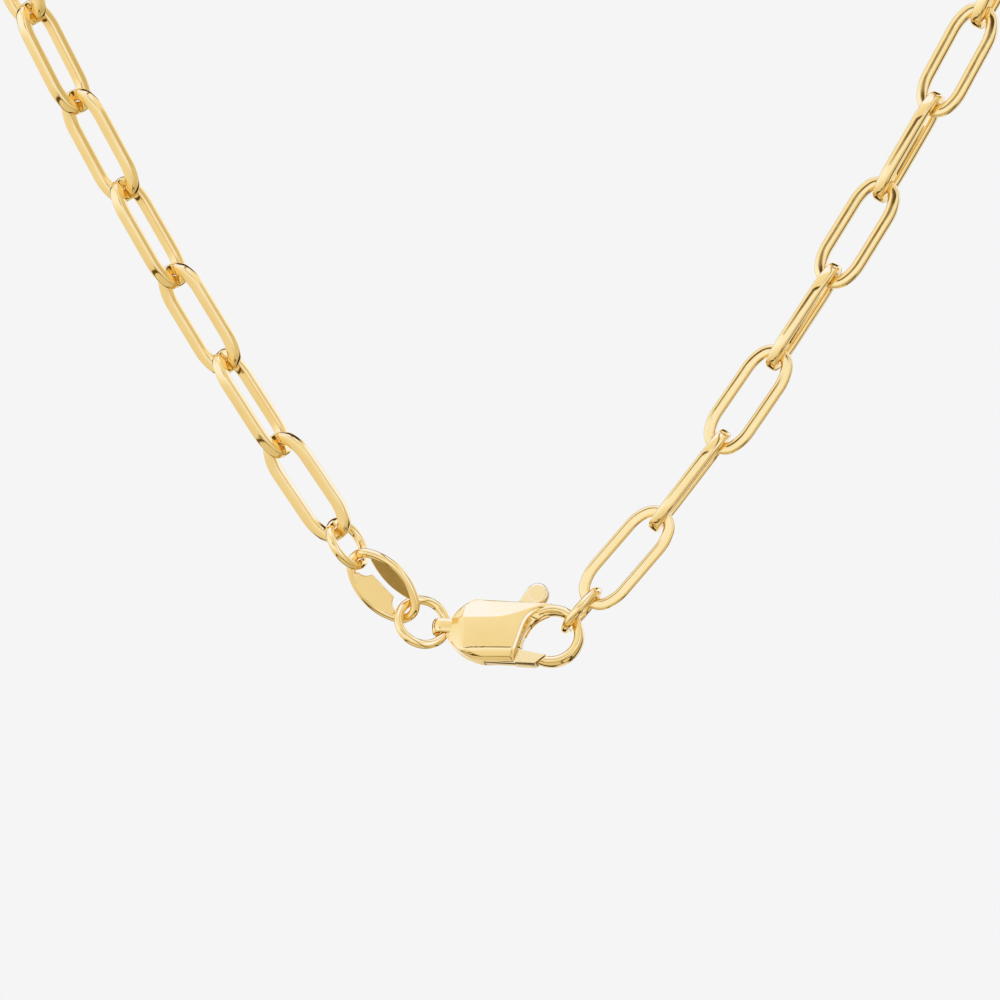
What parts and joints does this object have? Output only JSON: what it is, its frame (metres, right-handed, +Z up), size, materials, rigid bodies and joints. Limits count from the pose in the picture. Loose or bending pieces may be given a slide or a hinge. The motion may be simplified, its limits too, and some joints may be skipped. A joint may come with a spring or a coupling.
{
  "type": "paperclip chain necklace",
  "caption": "Gold chain necklace of long oval paperclip links, closed by a lobster clasp beside a slit oval tag link, hanging as worn round a neck.",
  "frame": {"origin": "where the loop rests on a neck: the lowest point of the topmost link's inner side", "axes": "+Z up, the loop hangs in the XZ plane, +Y points away from the viewer of the front; the clasp hangs lowest with its hook towards +X"},
  "size_m": [0.1317, 0.0066, 0.1764],
  "materials": {
    "chain_gold": null,
    "ring_gold": null,
    "tag_gold": null,
    "clasp_gold": null,
    "lever_gold": null
  },
  "bodies": {
    "chain": {"link_01": "chain_gold", "link_02": "chain_gold", "link_03": "chain_gold", "link_04": "chain_gold", "link_05": "chain_gold", "link_06": "chain_gold", "link_07": "chain_gold", "link_08": "chain_gold", "link_09": "chain_gold", "link_10": "chain_gold", "link_11": "chain_gold", "link_12": "chain_gold", "link_13": "chain_gold", "link_14": "chain_gold", "link_15": "chain_gold", "link_16": "chain_gold", "link_17": "chain_gold", "link_18": "chain_gold", "link_19": "chain_gold", "link_20": "chain_gold", "link_21": "chain_gold", "link_22": "chain_gold", "link_23": "chain_gold", "link_24": "chain_gold", "link_25": "chain_gold", "link_26": "chain_gold", "link_27": "chain_gold", "link_28": "chain_gold", "link_29": "chain_gold", "link_30": "chain_gold", "link_31": "chain_gold", "link_32": "chain_gold", "link_33": "chain_gold", "link_34": "chain_gold", "link_35": "chain_gold", "link_36": "chain_gold", "link_37": "chain_gold", "link_38": "chain_gold", "link_39": "chain_gold", "link_40": "chain_gold", "jump_ring_1": "ring_gold", "tag_link": "tag_gold", "jump_ring_2": "ring_gold", "clasp_body": "clasp_gold", "clasp_pin": "clasp_gold", "jump_ring_3": "ring_gold"},
    "lever": {"clasp_lever": "lever_gold"}
  },
  "joints": [
    {"name": "lever_hinge", "type": "hinge", "parent": "chain", "child": "lever", "pos_m": [-0.00121, -0.00044, -0.16828], "axis": [-0.1308, -0.9305, 0.342], "range_deg": [0, 25], "stiffness_Nm_per_rad": 0.01, "springref_deg": -17.19}
  ]
}
